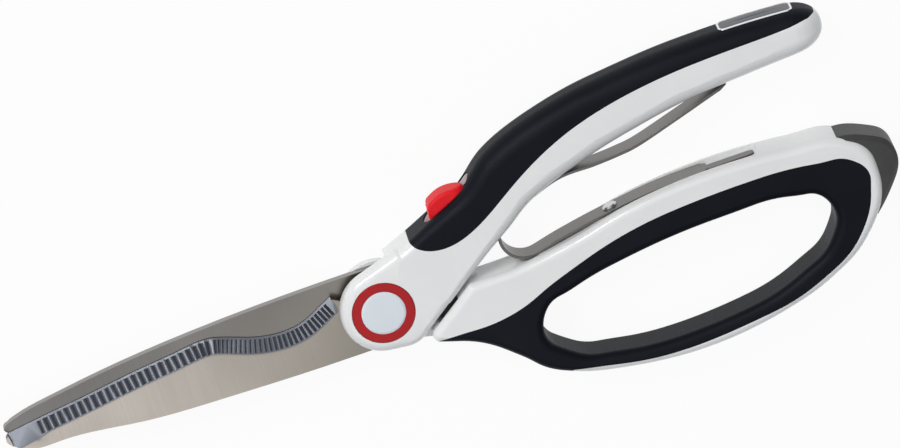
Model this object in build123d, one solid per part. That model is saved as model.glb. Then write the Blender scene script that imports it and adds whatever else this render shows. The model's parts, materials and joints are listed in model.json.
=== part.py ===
"""Kitchen shears with a sprung pair of handles: a straight upper handle, a looped lower handle and a thumb lock.

Frame: millimetres, +Z up. The shears lie on their back. The origin is on the pivot axis, in the plane of the
rear faces that they rest on. The blades point along -X, the handles along +X, and the upper handle is towards +Y.
The lever with the serrated blade and the upper handle is the front one, the other is the rear one.
"""
from build123d import *
import math
import os

os.makedirs("parts", exist_ok=True)

# Overall sizes
handle_depth = 14.0
blade_thickness = 2.5
face_gap = 0.06
fit_gap = 0.15
lap_gap = 0.8
overrun = 5.0
middle_flat_share = 0.6
side_flat_share = 0.23

# Pivot: bolt, washer and nut, with the ring and the cap over them
boss_radius = 11.7
boss_edge_radius = 2.4
bolt_radius = 3.0
running_gap = 0.04
bolt_head_radius = 5.2
bolt_head_thickness = 1.9
spanner_hole_radius = 0.7
spanner_hole_place = 3.2
spanner_hole_depth = 1.0
bolt_end_height = 12.4
washer_radius = 4.9
washer_thickness = 0.5
nut_across_flats = 8.0
nut_thickness = 2.2
nut_room_radius = 5.4
ring_radius = 8.62
ring_inner_radius = 6.15
ring_thickness = 1.3
ring_seat_depth = 1.2
cap_skirt_depth = 0.4
cap_skirt_wall = 0.55
cap_crown = 0.3

# Blades
blade_reach = 108.5
blade_half_width = 11.1
blade_root_radius = 10.9
edge_land = 0.25
bevel_width = 4.6
notch_start = 47.0
notch_end = 12.5
notch_depth = 5.1
notch_path_ratio = 1.07
edge_height = 6.9
plain_edge_height = 5.6
plain_bevel_width = 3.2
flute_pitch = 2.05
flute_width = 1.5
flute_depth = 0.4
flute_length = 3.7
fine_flute_pitch = 1.25
fine_flute_width = 0.9
fine_flute_depth = 0.3
flute_edge_margin = 0.6
flute_start = 9.0
flute_end_margin = 2.0
tang_width = 7.0
upper_tang_heading = 36.5
upper_tang_side = -4.3
lower_tang_heading = -21.0
lower_tang_side = 0.0
tang_pin_radius = 1.5
tang_pin_length = 7.4
tang_pin_from_end = 3.6

# Finger opening, for four fingers. Both handles' lengths follow it
opening_length = 85.4
opening_start = 0.466 * opening_length
opening_edge_radius = 2.5
lower_reach = 1.6417 * opening_length
upper_reach = 1.616 * opening_length
upper_tang_length = upper_reach / 3
lower_tang_length = 0.271 * lower_reach

# Upper handle
upper_rise = 44.3
upper_width = 19.7
upper_edge_radius = 5.6
upper_overfill = 0.1
flare_heading = 36.5
flare_bulge_radius = 8.26
flare_bulge_start = 1.0
flare_low_side = 13.96
flare_low_reach = 18.1
flare_high_side = 7.43
flare_high_reach = 13.9
flare_corner_radius = 2.9
grip_wall = 2.0
grip_face_wall = 2.6

# Lower handle
loop_drop = 41.1
loop_edge_radius = 2.2
loop_corner_radius = 2.2
opening_top = -0.156 * loop_drop
opening_width = 0.703 * loop_drop
lining_wall = 2.0
lining_face_wall = 1.6
neck_circle_radius = 8.6
neck_reach_share = 2.2
neck_drop_share = 0.93
web_gap = 0.3
bumper_depth = 11.6
bumper_edge = 1.2

# Handle spring
spring_width = 7.2
spring_thickness = 0.8
spring_bend_radius = 6.8
spring_bend_x = 0.3067 * lower_reach
spring_bend_y = 7.0
spring_lower_heading = 14.5
spring_upper_heading = 20.0
channel_side_gap = 0.4
rivet_radius = 1.0
rivet_head_radius = 2.1
rivet_head_height = 0.7
rivet_length = 4.5
rivet_place_share = 0.45

# Thumb lock
lock_heading = 31.0
lock_travel = 2.9
slot_start = 25.4
slot_length = 18.0
slot_width = 7.4
slot_floor = 3.9
slider_start = 26.7
slider_length = 13.6
slider_width = 6.8
slider_height = 6.8
slider_edge_width = 0.6
rib_count = 4
rib_depth = 0.35
lock_bolt_thickness = 2.0
lock_bolt_width = 5.0
lock_bolt_side = 0.3
lock_bolt_nose_gap = 0.35
lock_bolt_length = 24.75
lock_tab_length = 5.0
lock_tab_height = 2.6
keeper_depth = 1.3
detent_thickness = 0.4
detent_length = 11.0
detent_rise = 1.5
detent_start = 19.5

# Badge plate in the upper grip
badge_length = 21.0
badge_width = 7.0
badge_middle = 121.0
badge_plane_share = 0.86
badge_stand = 0.3
badge_seat_depth = 0.45

z_mid = handle_depth / 2
front_blade_low = z_mid + face_gap / 2
front_blade_high = front_blade_low + blade_thickness
rear_blade_high = z_mid - face_gap / 2
rear_blade_low = rear_blade_high - blade_thickness
boss_clear_radius = boss_radius + lap_gap

# Blade outlines: shares of the reach, and of the half width or the edge's height. The tip comes first
front_spine_shares = [
    (1.0, -0.10), (0.985, -0.34), (0.87, -0.57), (0.665, -0.79), (0.455, -0.915), (0.245, -0.975),
]
rear_spine_shares = [(0.998, 0.10), (0.972, 0.26), (0.885, 0.45), (0.72, 0.675), (0.50, 0.865), (0.23, 0.97)]
straight_edge_shares = [(0.992, -0.02), (0.925, 0.13), (0.79, 0.39), (0.62, 0.75), (0.515, 0.93)]
notch_edge_shares = [
    (0.0, 0.0), (0.085, 0.15), (0.30, 0.70), (0.54, 1.0), (0.72, 0.86), (0.88, 0.38), (1.0, -0.03),
]
plain_edge_shares = [(0.99, -0.04), (0.80, -0.40), (0.50, -0.78), (0.22, -0.97), (0.10, -1.0)]

# Upper handle stations: lower edge's place as shares of reach and rise, heading in degrees, then
# width, depth and edge radius as shares of the greatest
upper_station_shares = [
    (0.131, -0.097, 36.5, 1.100, 1.00, 0.46),
    (0.184, 0.023, 36.5, 0.995, 1.00, 0.54),
    (0.235, 0.131, 36.0, 0.929, 1.00, 0.64),
    (0.290, 0.235, 34.0, 0.888, 1.00, 0.79),
    (0.342, 0.341, 27.0, 0.964, 1.00, 0.93),
    (0.409, 0.424, 22.0, 0.990, 1.00, 1.00),
    (0.507, 0.517, 15.0, 0.954, 1.00, 1.00),
    (0.597, 0.580, 10.0, 0.888, 1.00, 1.00),
    (0.686, 0.630, 6.5, 0.827, 1.00, 1.00),
    (0.772, 0.657, 4.0, 0.777, 1.00, 0.96),
    (0.857, 0.677, 1.5, 0.721, 1.00, 0.93),
    (0.931, 0.691, -1.0, 0.660, 0.98, 0.89),
    (0.973, 0.720, -2.0, 0.533, 0.80, 0.71),
    (0.995, 0.774, -2.0, 0.279, 0.47, 0.39),
]

# Edge between the white handle and the black grip, as shares of reach and rise
upper_split_shares = [
    (0.090, 0.452), (0.089, 0.397), (0.108, 0.314), (0.160, 0.269), (0.221, 0.321), (0.315, 0.501),
    (0.441, 0.709), (0.576, 0.826), (0.725, 0.880), (0.877, 0.894), (1.030, 0.925),
]

# Lower handle outline as shares of reach and drop, from the neck's tip along the bottom and back on top
loop_shares = [
    (0.059, -0.304), (0.175, -0.474), (0.225, -0.622), (0.270, -0.774), (0.323, -0.864), (0.425, -0.952),
    (0.571, -1.000), (0.715, -0.951), (0.839, -0.830), (0.928, -0.655), (1.000, -0.240), (0.987, 0.000),
    (0.950, 0.095), (0.837, 0.158), (0.676, 0.185), (0.524, 0.143), (0.376, 0.034),
    (0.285, -0.012), (0.175, -0.022),
]

# Finger opening as shares of its own length and width, measured from its left end and its top
opening_shares = [
    (0.000, -0.52), (0.033, -0.30), (0.140, -0.185), (0.380, -0.052), (0.640, 0.000), (0.881, -0.031),
    (0.975, -0.130), (1.000, -0.330), (0.955, -0.600), (0.820, -0.825), (0.500, -1.000), (0.230, -0.955),
    (0.080, -0.825),
]

# Edge between the white handle and the black lining: shares of the lower handle's reach and drop
lining_split_shares = [
    (0.070, -0.325), (0.243, -0.302), (0.345, -0.173), (0.480, -0.036), (0.690, 0.036), (0.880, 0.006),
    (0.952, -0.050), (0.977, -0.150), (0.970, -0.328), (0.920, -0.605), (0.810, -0.820), (0.640, -0.930),
    (0.500, -0.943), (0.314, -0.832),
]
lining_outside_shares = [(0.250, -1.00), (0.120, -0.80), (0.020, -0.40)]

# Where the white core starts under the lining: shares of the lower handle's reach and drop
core_edge_shares = [
    (0.175, -0.20), (0.175, -0.36), (0.232, -0.565), (0.277, -0.715), (0.333, -0.82), (0.36, -1.3),
]

# End bumper as shares of the lower handle's reach and drop
bumper_shares = [
    (0.930, 0.110), (0.968, 0.098), (1.004, 0.045), (1.032, -0.020), (1.043, -0.134), (1.037, -0.231),
    (1.020, -0.320), (0.996, -0.418), (0.972, -0.500),
]
bumper_inside_shares = [(0.945, -0.44), (0.930, -0.10)]

# Web of the lower lever between its boss and its neck, as shares of the boss radius
web_shares = [(0.97, 0.256), (2.35, -0.04), (2.35, -0.90), (1.45, -1.33), (1.02, -1.22), (0.26, -0.97)]

# Spring legs: shares of the lower handle's reach and of the loop's drop
spring_lower_shares = [(0.376, 0.056), (0.464, 0.109), (0.571, 0.155), (0.685, 0.168)]
spring_upper_shares = [
    (0.404, 0.429), (0.485, 0.439), (0.535, 0.449), (0.581, 0.469), (0.667, 0.546), (0.782, 0.655),
]

# Thumb button's profile as shares of its length and height
slider_shares = [
    (0.0, 0.0), (0.0, 0.30), (0.17, 0.83), (0.34, 1.0), (0.62, 0.97), (0.84, 0.74), (1.0, 0.38), (1.0, 0.0),
]


def placed(shares, x_size, y_size):
    """Turn a table of shares into points."""
    return [(x * x_size, y * y_size) for x, y in shares]


def toward(heading):
    """The direction of a heading in degrees."""
    return Vector(math.cos(math.radians(heading)), math.sin(math.radians(heading)))


def biarc(start, start_way, end, end_way):
    """Two arcs that leave start and reach end along the given ways, and meet smoothly."""
    span = end - start
    ways = start_way + end_way
    bend = 2 * (1 - start_way.dot(end_way))
    across = span.dot(ways)
    reach = span.dot(span) / (math.sqrt(across**2 + bend * span.dot(span)) + across)
    middle = (start + end + (start_way - end_way) * reach) / 2
    middle_way = (span - ways * reach).normalized()
    return [TangentArc(start, middle, tangent=start_way), TangentArc(middle, end, tangent=middle_way)]


def arcs_through(points, closed=False):
    """A smooth line of tangent arcs through the points, round again to the first if closed."""
    points = [Vector(*point) for point in points]
    count = len(points)
    ways = []
    for index, point in enumerate(points):
        before = points[index - 1] if index or closed else points[0] * 2 - points[1]
        after = points[(index + 1) % count] if index < count - 1 or closed else point * 2 - points[index - 1]
        into, out = point - before, after - point
        ways.append((into / into.length**2 + out / out.length**2).normalized())
    edges = []
    for index in range(count if closed else count - 1):
        follow = (index + 1) % count
        edges += biarc(points[index], ways[index], points[follow], ways[follow])
    return edges


def slab(outline, low, high):
    """A flat outline stood up from one height to another."""
    return Pos(0, 0, low) * extrude(outline, amount=high - low)


def level_edges(shape, height):
    """The edges that lie level at a height."""
    edges = [edge for edge in shape.edges() if edge.bounding_box().size.Z < running_gap]
    return ShapeList([edge for edge in edges if abs((edge @ 0).Z - height) < running_gap])


def softened(body, radius):
    """Round the rim of a body's top face with three narrow flats."""
    top = body.bounding_box().max.Z
    body = chamfer(level_edges(body, top), middle_flat_share * radius)
    rims = level_edges(body, top) + level_edges(body, top - middle_flat_share * radius)
    return chamfer(rims, side_flat_share * radius)


def band(low, high):
    """Everything between two heights, wider than the whole object."""
    span = 2 * (blade_reach + upper_reach)
    return Pos(0, 0, (low + high) / 2) * Box(span, span, high - low)


def turned(heading, side=0.0):
    """A frame on the pivot axis whose x runs along a heading, moved sideways."""
    angle = math.radians(heading)
    origin = (-side * math.sin(angle), side * math.cos(angle), 0)
    return Plane(origin=origin, x_dir=(math.cos(angle), math.sin(angle), 0), z_dir=(0, 0, 1))


def strip(heading, side, start, end, width):
    """A straight strip's outline along a heading from the pivot."""
    return turned(heading, side) * Pos((start + end) / 2, 0) * Rectangle(end - start, width)


# Blades


def tang_outline(heading, side, length):
    """A tang with a rounded end."""
    bar = strip(heading, side, 0, length - tang_width / 2, tang_width)
    return bar + turned(heading, side) * Pos(length - tang_width / 2, 0) * Circle(tang_width / 2)


def front_edge_line():
    """The serrated blade's edge from the tip through the bone notch."""
    straight = placed(straight_edge_shares, -blade_reach, edge_height)
    span = notch_start - notch_end
    notch = [(-notch_start + x * span, edge_height - y * notch_depth) for x, y in notch_edge_shares]
    return Spline(*straight, *notch)


def rear_edge_line():
    """The plain blade's edge, from the tip."""
    return Spline(*placed(plain_edge_shares, -blade_reach, plain_edge_height))


def blade_outline(edge, spine_shares, side):
    """A blade's flat outline with its round root. side is the spine's side: -1 below, 1 above."""
    spine = placed(spine_shares, -blade_reach, blade_half_width)
    root = (0, side * blade_root_radius)
    back = Spline(edge @ 0, *spine, root)
    blade = make_face([edge, Line(edge @ 1, (0, 0)), Line((0, 0), root), back])
    return blade + Circle(blade_root_radius)


def bevel_cutter(edge, width, inward, land_height, face_height):
    """The wedge that grinds a bevel along an edge, from the land to the blade's face."""
    direction = edge % 0
    across = Vector(direction.Y * inward, -direction.X * inward, 0)
    out = math.copysign(edge_land, face_height - land_height) * 4
    start = Vector(edge @ 0)
    corners = [
        start - across * edge_land + Vector(0, 0, land_height),
        start + Vector(0, 0, land_height),
        start + across * width + Vector(0, 0, face_height),
        start + across * width + Vector(0, 0, face_height + out),
        start - across * edge_land + Vector(0, 0, face_height + out),
    ]
    wedge = make_face(Polyline(*corners, close=True))
    return sweep(wedge, path=edge)


def flute(edge, distance, width, depth):
    """One flute: a shallow V across the bevel, square to the edge."""
    point = edge.position_at(distance, position_mode=PositionMode.LENGTH)
    along = edge.tangent_at(distance, position_mode=PositionMode.LENGTH)
    rise = blade_thickness - edge_land
    slope = Vector(along.Y * bevel_width, -along.X * bevel_width, rise).normalized()
    start = point + Vector(0, 0, front_blade_low + edge_land) + slope * flute_edge_margin
    face = Plane(origin=start, x_dir=along, z_dir=slope)
    vee = make_face(Polyline((-width, depth), (width, depth), (0, -depth), close=True))
    return extrude(face * vee, amount=flute_length)


def flutes(edge):
    """Coarse flutes on the straight edge and fine ones in the notch."""
    cutters = []
    length = edge.length
    notch_run = (notch_start - notch_end) * notch_path_ratio
    distance = flute_start
    while distance < length - notch_run:
        cutters.append(flute(edge, distance, flute_width, flute_depth))
        distance += flute_pitch
    while distance < length - flute_end_margin:
        cutters.append(flute(edge, distance, fine_flute_width, fine_flute_depth))
        distance += fine_flute_pitch
    return cutters


def tang_pin_place(heading, side, length):
    return turned(heading, side) * Pos(length - tang_pin_from_end, 0)


def serrated_blade():
    edge = front_edge_line()
    outline = blade_outline(edge, front_spine_shares, -1)
    outline += tang_outline(upper_tang_heading, upper_tang_side, upper_tang_length)
    blade = slab(outline, front_blade_low, front_blade_high)
    blade -= bevel_cutter(edge, bevel_width, 1, front_blade_low + edge_land, front_blade_high)
    blade -= flutes(edge)
    blade -= Cylinder(bolt_radius + running_gap, 3 * handle_depth)
    pin_place = tang_pin_place(upper_tang_heading, upper_tang_side, upper_tang_length)
    return blade - pin_place * Cylinder(tang_pin_radius + running_gap, 3 * handle_depth)


def lock_frame():
    return turned(lock_heading)


def keeper_notch():
    """The notch in the plain blade's root that takes the lock bolt's nose."""
    start = blade_root_radius - keeper_depth
    room = Rectangle(keeper_depth * 2, lock_bolt_width + 2 * fit_gap)
    return lock_frame() * Pos(start + keeper_depth, lock_bolt_side) * room


def plain_blade_outline():
    edge = rear_edge_line()
    outline = blade_outline(edge, rear_spine_shares, 1)
    return outline + tang_outline(lower_tang_heading, lower_tang_side, lower_tang_length)


def plain_blade():
    edge = rear_edge_line()
    blade = slab(plain_blade_outline(), rear_blade_low, rear_blade_high)
    blade -= bevel_cutter(edge, plain_bevel_width, -1, rear_blade_high - edge_land, rear_blade_low)
    blade -= Cylinder(bolt_radius + running_gap, 3 * handle_depth)
    blade -= slab(keeper_notch(), 0, handle_depth)
    pin_place = tang_pin_place(lower_tang_heading, lower_tang_side, lower_tang_length)
    return blade - pin_place * Cylinder(tang_pin_radius + running_gap, 3 * handle_depth)


# Upper handle


def upper_form(growth=0.0):
    """The upper handle as a loft of rounded sections, grown or shrunk all over."""
    stations = upper_station_shares if growth >= 0 else upper_station_shares[:-1]
    sections = []
    for x, y, heading, width_share, depth_share, edge_share in stations:
        across = toward(heading + 90)
        width = width_share * upper_width
        middle = Vector(x * upper_reach, y * upper_rise, z_mid) + across * (width / 2)
        plane = Plane(origin=middle, x_dir=across, z_dir=toward(heading))
        depth = depth_share * handle_depth + 2 * upper_overfill
        corner = edge_share * upper_edge_radius
        sections.append(plane * RectangleRounded(width + 2 * growth, depth + 2 * growth, corner + growth))
    return loft(sections, ruled=True)


def upper_core():
    """The white core that the black grip is moulded round."""
    near_side, far_side = [], []
    for x, y, heading, width_share, depth_share, edge_share in upper_station_shares[1:12:2]:
        across = toward(heading + 90)
        edge = Vector(x * upper_reach, y * upper_rise)
        near_side.append(edge + across * grip_wall)
        far_side.append(edge + across * (width_share * upper_width - grip_wall))
    outline = make_face(Polyline(*near_side, *reversed(far_side), close=True))
    return slab(outline, grip_face_wall, handle_depth - grip_face_wall)


def upper_boss_outline():
    """The front boss with the flare that runs into the upper handle's neck."""
    flare = turned(flare_heading)
    corner = flare_corner_radius
    circles = [
        Circle(boss_radius),
        flare * Pos(flare_bulge_start, flare_bulge_radius - flare_low_side) * Circle(flare_bulge_radius),
        flare * Pos(flare_low_reach, corner - flare_low_side) * Circle(corner),
        flare * Pos(flare_high_reach, flare_high_side - corner) * Circle(corner),
    ]
    return make_hull([edge for circle in circles for edge in circle.edges()])


def upper_boss():
    boss = slab(upper_boss_outline(), front_blade_high, handle_depth)
    return softened(boss, boss_edge_radius)


def upper_grip_region():
    """Everything on the outer side of the line where black meets white."""
    split = placed(upper_split_shares, upper_reach, upper_rise)
    far = (upper_split_shares[-1][0] * upper_reach, 2 * upper_rise)
    near = (upper_split_shares[0][0] * upper_reach / 2, 2 * upper_rise)
    outside = Polyline(split[-1], far, near, split[0])
    return slab(make_face([Spline(*split), outside]), -overrun, handle_depth + overrun)


def lower_boss_outline():
    """The rear boss, tapering into the lower handle's neck."""
    neck = (neck_circle_radius * neck_reach_share, -neck_circle_radius * neck_drop_share)
    circles = [Circle(boss_radius), Pos(*neck) * Circle(neck_circle_radius)]
    return make_hull([edge for circle in circles for edge in circle.edges()])


def web_outline():
    return make_face(Polyline(*placed(web_shares, boss_radius, boss_radius), close=True))


def cut_lap(shape):
    """Take away the room of the lower lever's boss and web and of both blade roots."""
    shape -= slab(Circle(boss_clear_radius), -overrun, front_blade_high)
    shape -= slab(offset(lower_boss_outline(), lap_gap), -overrun, rear_blade_low + fit_gap)
    return shape - slab(offset(web_outline(), lap_gap), -overrun, z_mid + fit_gap)


def spring_bend_points():
    """The points where the bend meets the lower and the upper leg."""
    low = math.radians(spring_lower_heading - 90)
    high = math.radians(spring_upper_heading + 90)
    ends = []
    for angle in (low, math.pi, high):
        x = spring_bend_x + spring_bend_radius * math.cos(angle)
        ends.append((x, spring_bend_y + spring_bend_radius * math.sin(angle)))
    return ends


def lower_leg_line():
    points = [spring_bend_points()[0], *placed(spring_lower_shares, lower_reach, loop_drop)]
    return Spline(*points, tangents=[toward(spring_lower_heading), toward(0)])


def upper_leg_line():
    points = [spring_bend_points()[2], *placed(spring_upper_shares, upper_reach, upper_rise)]
    headings = [toward(spring_upper_heading), toward(spring_upper_heading)]
    return Spline(*points, tangents=headings)


def spring_bend_line():
    low, left, high = spring_bend_points()
    return ThreePointArc(low, left, high)


def spring_lines():
    return lower_leg_line() + spring_bend_line() + upper_leg_line()


def upper_spring_channel():
    """The slot in the upper handle's underside that hides the bend and takes the upper leg's end."""
    wide = spring_width + 2 * channel_side_gap
    bend = Pos(spring_bend_x, spring_bend_y) * Circle(spring_bend_radius + spring_thickness + fit_gap)
    leg = upper_leg_line()
    rise = 2 * spring_thickness
    drop = 3 * spring_bend_radius
    entry = [leg @ share for share in (0.0, 0.16, 0.37)]
    slot = Polyline(
        *[(point.X - rise / 3, point.Y + rise) for point in entry],
        (entry[-1].X, entry[-1].Y - drop),
        (entry[0].X, entry[0].Y - drop),
        close=True,
    )
    end = [leg @ share for share in (0.93, 1.0)]
    tip_x = end[1].X + rise
    pocket = Polyline(
        (end[0].X, end[0].Y + rise / 2),
        (tip_x, end[1].Y + rise),
        (tip_x, end[1].Y - drop),
        (end[0].X, end[0].Y - drop),
        close=True,
    )
    outlines = bend + make_face(slot) + make_face(pocket)
    return slab(outlines, z_mid - wide / 2, z_mid + wide / 2)


def upper_tang_pocket():
    outline = tang_outline(upper_tang_heading, upper_tang_side, upper_tang_length) + Circle(blade_root_radius)
    return slab(offset(outline, fit_gap), z_mid, front_blade_high)


def tang_pin(heading, side, length):
    place = tang_pin_place(heading, side, length)
    return Pos(0, 0, z_mid) * (place * Cylinder(tang_pin_radius, tang_pin_length))


def tang_pin_room(heading, side, length):
    place = tang_pin_place(heading, side, length)
    room = Cylinder(tang_pin_radius + running_gap, tang_pin_length + 2 * fit_gap)
    return Pos(0, 0, z_mid) * (place * room)


def lock_box(start, end, side_low, side_high, low, high):
    """A box in the lock's own frame: along its travel, across it, and in height."""
    middle = Pos((start + end) / 2, (side_low + side_high) / 2)
    outline = middle * Rectangle(end - start, side_high - side_low)
    return slab(lock_frame() * outline, low, high)


def round_ended(start, length, width):
    """A round-ended prism that stands out of the grip along the lock's travel."""
    floor = Plane(origin=lock_frame().origin, x_dir=lock_frame().x_dir, z_dir=lock_frame().y_dir)
    outline = Pos(start + length / 2, -z_mid) * SlotOverall(length, width)
    return extrude(floor * (Pos(0, 0, slot_floor) * outline), amount=3 * slider_height)


def button_slot():
    """The slot in the grip that the thumb button slides in."""
    return round_ended(slot_start, slot_length, slot_width)


bolt_low = rear_blade_low + 2 * fit_gap
bolt_high = bolt_low + lock_bolt_thickness
bolt_nose = blade_root_radius + lock_bolt_nose_gap
bolt_far = bolt_nose + lock_bolt_length
bolt_side_low = lock_bolt_side - lock_bolt_width / 2
bolt_side_high = lock_bolt_side + lock_bolt_width / 2


def lock_room():
    """The channel of the lock bolt and the slit that its tab slides in."""
    low = bolt_low - fit_gap
    channel = lock_box(
        bolt_nose - overrun, bolt_far + lock_travel + 2 * fit_gap,
        bolt_side_low - fit_gap, bolt_side_high + fit_gap, low, z_mid,
    )
    slit = lock_box(
        bolt_far - lock_tab_length - 2 * fit_gap, bolt_far + lock_travel + 2 * fit_gap,
        bolt_side_low, slot_floor + fit_gap, low, z_mid,
    )
    pocket = lock_box(
        detent_start - fit_gap, detent_start + detent_length + fit_gap,
        bolt_side_low - detent_rise - detent_thickness - 2 * fit_gap, bolt_side_low, low, z_mid,
    )
    return channel + slit + pocket


def badge_zone():
    """The rounded plate's outline, pushed through the grip's outer side."""
    plane = Plane(origin=(badge_middle, badge_plane_share * upper_rise, z_mid), x_dir=(1, 0, 0), z_dir=(0, 1, 0))
    plate = RectangleRounded(badge_length, badge_width, badge_width / 4)
    return extrude(plane * plate, amount=upper_rise / 2)


def pivot_room():
    """The seat of the ring and the cap, and under it the room of the washer and the nut."""
    seat = slab(Circle(ring_radius + fit_gap), handle_depth - ring_seat_depth, handle_depth + overrun)
    return seat + slab(Circle(nut_room_radius), -overrun, handle_depth)


def upper_handle_pieces():
    """The two white shells, the black grip and the badge plate."""
    form = upper_form() & band(0, handle_depth)
    core = upper_core()
    region = upper_grip_region()
    slot = button_slot()
    zone = badge_zone()
    seat_form = upper_form(-badge_seat_depth)
    grip = cut_lap((form & region) - core - slot)
    badge = (zone & upper_form(badge_stand)) - seat_form
    grip = grip - (zone - seat_form) - lock_room()
    white = (form - region) + core + upper_boss()
    white = cut_lap(white) - pivot_room() - slot
    white = white - upper_spring_channel() - upper_tang_pocket() - lock_room()
    white -= tang_pin_room(upper_tang_heading, upper_tang_side, upper_tang_length)
    front = white & band(z_mid, 2 * handle_depth)
    rear = white & band(-handle_depth, z_mid)
    return front, rear, grip, badge


# Lower handle


def loop_outline():
    arcs = arcs_through(placed(loop_shares, lower_reach, loop_drop))
    neck = Line(arcs[-1] @ 1, arcs[0] @ 0)
    outline = make_face([*arcs, neck])
    corners = [corner for corner in outline.vertices() if neck.distance_to(corner) < fit_gap]
    return fillet(corners, loop_corner_radius)


def opening_outline():
    points = placed(opening_shares, opening_length, opening_width)
    return Pos(opening_start, opening_top) * make_face(arcs_through(points, closed=True))


def loop_form():
    """The looped handle's full body: the neck, the loop and the finger opening, with softened edges."""
    body = slab(loop_outline(), 0, handle_depth)
    body = fillet(body.edges().group_by(Axis.Z)[0] + body.edges().group_by(Axis.Z)[-1], loop_edge_radius)
    body -= slab(opening_outline(), -overrun, handle_depth + overrun)
    rims = [edge for edge in body.edges() if is_opening_rim(edge)]
    return fillet(rims, opening_edge_radius)


def is_opening_rim(edge):
    """True for the finger opening's edge on either face."""
    low, high = edge.bounding_box().min, edge.bounding_box().max
    flat = high.Z - low.Z < fit_gap
    inside = low.X > opening_start - fit_gap and high.X < opening_start + opening_length + fit_gap
    between = low.Y > opening_top - opening_width - fit_gap and high.Y < opening_top + fit_gap
    return flat and inside and between


def lining_core():
    """The white core that the black lining is moulded round: all but a wall round the finger opening."""
    edge = placed(core_edge_shares, lower_reach, loop_drop)
    far = 2 * lower_reach
    corners = [(far, edge[-1][1]), (far, loop_drop), (edge[0][0], loop_drop)]
    outside = make_face(Polyline(*edge, *corners, close=True))
    ring = []
    for x, y in opening_shares:
        ring_x = opening_start - lining_wall + x * (opening_length + 2 * lining_wall)
        ring.append((ring_x, opening_top + lining_wall + y * (opening_width + 2 * lining_wall)))
    outline = outside - make_face(Polyline(*ring, close=True))
    return slab(outline, lining_face_wall, handle_depth - lining_face_wall)


def lining_region():
    split = placed(lining_split_shares, lower_reach, loop_drop)
    outside = placed(lining_outside_shares, lower_reach, loop_drop)
    outline = make_face([*arcs_through(split), Polyline(split[-1], *outside, split[0])])
    return slab(outline, -overrun, handle_depth + overrun)


def lower_spring_channel():
    """The channel in the loop's top that the spring's lower leg lies in."""
    leg = lower_leg_line()
    under = spring_thickness / 2 + running_gap
    floor = [leg @ share for share in (0.0, 0.15, 0.3, 0.45, 0.6, 0.8, 1.0)]
    points = [(point.X, point.Y - under) for point in floor]
    rise = 2 * spring_bend_radius
    end_x = points[-1][0] + 2 * spring_width
    start_x = points[0][0] - 2 * spring_width
    low = points[0][1] - spring_thickness
    top = Polyline(
        (end_x, points[-1][1]), (end_x, points[-1][1] + rise), (start_x, points[0][1] + rise),
        (start_x, low), (points[0][0] - spring_thickness, low), points[0],
    )
    outline = make_face([Spline(*points), Line(points[-1], (end_x, points[-1][1])), top])
    wide = spring_width + 2 * channel_side_gap
    return slab(outline, z_mid - wide / 2, z_mid + wide / 2)


def rivet_frame():
    """A frame at the rivet, on the leg's line, whose z points out of the handle's top."""
    leg = lower_leg_line()
    point = leg @ rivet_place_share
    along = leg % rivet_place_share
    return Plane(origin=(point.X, point.Y, z_mid), x_dir=along, z_dir=(-along.Y, along.X, 0))


def rivet_hole(clearance):
    depth = rivet_length + fit_gap
    middle = Pos(0, 0, (overrun - depth) / 2)
    return rivet_frame() * middle * Cylinder(rivet_radius + clearance, depth + overrun)


def spring_rivet():
    """A rivet: its shank stands in the handle and its bevelled head lies on the spring."""
    face = spring_thickness / 2
    shank = slab(Circle(rivet_radius), -rivet_length, face)
    head = slab(Circle(rivet_head_radius), face, face + rivet_head_height)
    return rivet_frame() * (shank + chamfer(head.edges().group_by(Axis.Z)[-1], rivet_head_height / 2))


def handle_spring():
    """One leaf bent to a U. Its lower leg is riveted down, and its upper leg presses the upper handle."""
    leaf = trace(spring_lines(), line_width=spring_thickness)
    spring = slab(leaf, z_mid - spring_width / 2, z_mid + spring_width / 2)
    return spring - rivet_hole(running_gap)


def lower_blade_pocket():
    return slab(offset(plain_blade_outline(), fit_gap), rear_blade_low, z_mid + overrun)


def end_bumper(form):
    """The hard crescent over the loop's end, shaped to the handle that it sits on."""
    points = placed(bumper_shares, lower_reach, loop_drop)
    inside = placed(bumper_inside_shares, lower_reach, loop_drop)
    outline = make_face([Spline(*points), Polyline(points[-1], *inside, points[0])])
    low = (handle_depth - bumper_depth) / 2
    block = slab(outline, low, handle_depth - low)
    ends = block.edges().group_by(Axis.Z)
    longest = [max(group, key=lambda edge: edge.length) for group in (ends[0], ends[-1])]
    return chamfer(longest, bumper_edge) - form


def bolt_head_room():
    return slab(Circle(bolt_head_radius + fit_gap), -overrun, bolt_head_thickness)


def lower_handle_pieces():
    """The two white shells, the black lining and the end bumper."""
    form = loop_form()
    region = lining_region()
    core = lining_core()
    boss = slab(lower_boss_outline(), 0, rear_blade_low)
    boss = fillet(boss.edges().group_by(Axis.Z)[0], boss_edge_radius)
    web = slab(web_outline(), rear_blade_low, z_mid - web_gap)
    lining = (form & region) - core - boss - web
    white = (form - region) + (form & core) + boss + web
    white = white - lower_blade_pocket() - lower_spring_channel() - rivet_hole(running_gap)
    white = white - Cylinder(bolt_radius + fit_gap, 3 * handle_depth) - bolt_head_room()
    white -= tang_pin_room(lower_tang_heading, lower_tang_side, lower_tang_length)
    front = white & band(z_mid, 2 * handle_depth)
    rear = white & band(-handle_depth, z_mid)
    return front, rear, lining - lower_blade_pocket(), end_bumper(form)


# Pivot hardware


def pivot_bolt():
    """A headed bolt with two spanner holes in its flush head."""
    head = slab(Circle(bolt_head_radius), 0, bolt_head_thickness)
    shank = slab(Circle(bolt_radius), 0, bolt_end_height)
    bolt = chamfer((head + shank).edges().group_by(Axis.Z)[-1], running_gap * 10)
    for side in (-1, 1):
        bolt -= Pos(side * spanner_hole_place, 0, 0) * Cylinder(spanner_hole_radius, 2 * spanner_hole_depth)
    return bolt


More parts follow.
